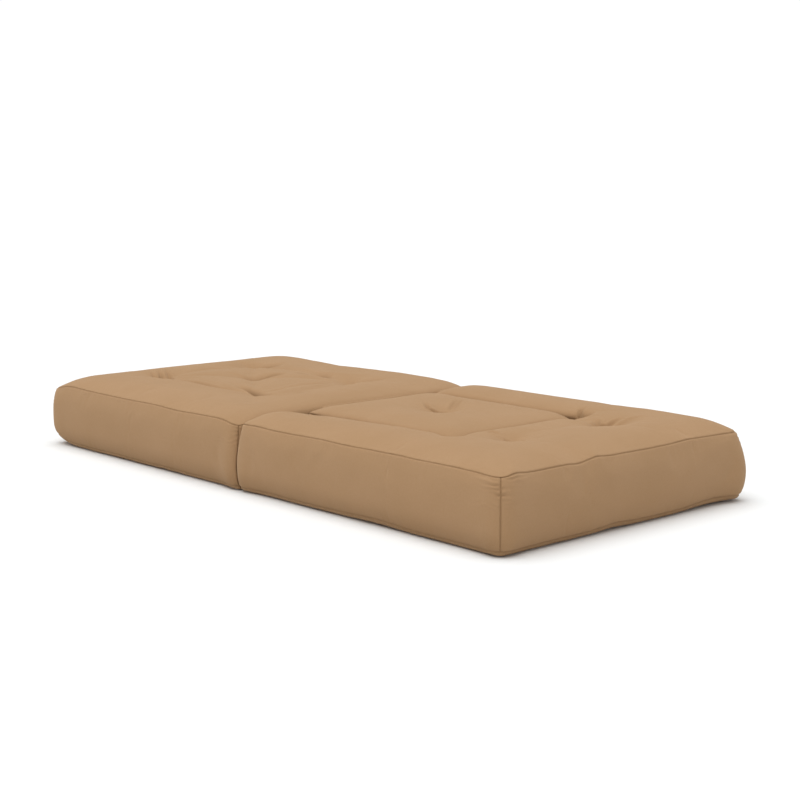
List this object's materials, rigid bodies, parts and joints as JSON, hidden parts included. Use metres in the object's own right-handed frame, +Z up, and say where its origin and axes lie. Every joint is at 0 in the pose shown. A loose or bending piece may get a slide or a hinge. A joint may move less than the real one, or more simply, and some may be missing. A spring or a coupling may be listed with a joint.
{
  "type": "convertible ottoman bed",
  "caption": "Low floor bed of a full cushion and a U-shaped cushion with a centre pad, hinged at the split to fold into a seat or a block ottoman.",
  "frame": {"origin": "on the floor under the middle of the split between the two sections, which is the middle of the bed", "axes": "+X along the bed from the base section to the folding section, +Y across the bed, +Z up"},
  "size_m": [1.988, 0.924, 0.2212],
  "materials": {
    "cover_fabric": "plain brushed cotton in camel tan",
    "cotton_wadding": "undyed cotton wadding",
    "foam_filling": "open-cell cushion foam",
    "tufting_tape": "flat cotton tape"
  },
  "bodies": {
    "base_section": {"base_bottom_panel": "cover_fabric", "base_bottom_wadding": "cotton_wadding", "base_boxing": "cover_fabric", "base_foam_core": "foam_filling", "base_hinge_flange": "cover_fabric", "base_top_panel": "cover_fabric", "base_top_wadding": "cotton_wadding", "base_tuft_ties": "tufting_tape"},
    "folding_section": {"folding_bottom_panel": "cover_fabric", "folding_boxing": "cover_fabric", "folding_end_bottom_wadding": "cotton_wadding", "folding_end_foam": "foam_filling", "folding_end_top_wadding": "cotton_wadding", "folding_far_arm_bottom_wadding": "cotton_wadding", "folding_far_arm_foam": "foam_filling", "folding_far_arm_top_wadding": "cotton_wadding", "folding_hinge_flange": "cover_fabric", "folding_near_arm_bottom_wadding": "cotton_wadding", "folding_near_arm_foam": "foam_filling", "folding_near_arm_top_wadding": "cotton_wadding", "folding_top_panel": "cover_fabric", "folding_tuft_ties": "tufting_tape"},
    "centre_pad": {"pad_bottom_panel": "cover_fabric", "pad_bottom_wadding": "cotton_wadding", "pad_boxing": "cover_fabric", "pad_foam_core": "foam_filling", "pad_hinge_flange": "cover_fabric", "pad_top_panel": "cover_fabric", "pad_top_wadding": "cotton_wadding", "pad_tuft_tie": "tufting_tape"}
  },
  "joints": [
    {"name": "section_fold", "type": "hinge", "parent": "base_section", "child": "folding_section", "pos_m": [0, 0, 0.2215], "axis": [0, -1, 0], "range_deg": [0, 180]},
    {"name": "pad_fold", "type": "hinge", "parent": "base_section", "child": "centre_pad", "pos_m": [0, 0, 0.2215], "axis": [0, -1, 0], "range_deg": [0, 180]}
  ]
}
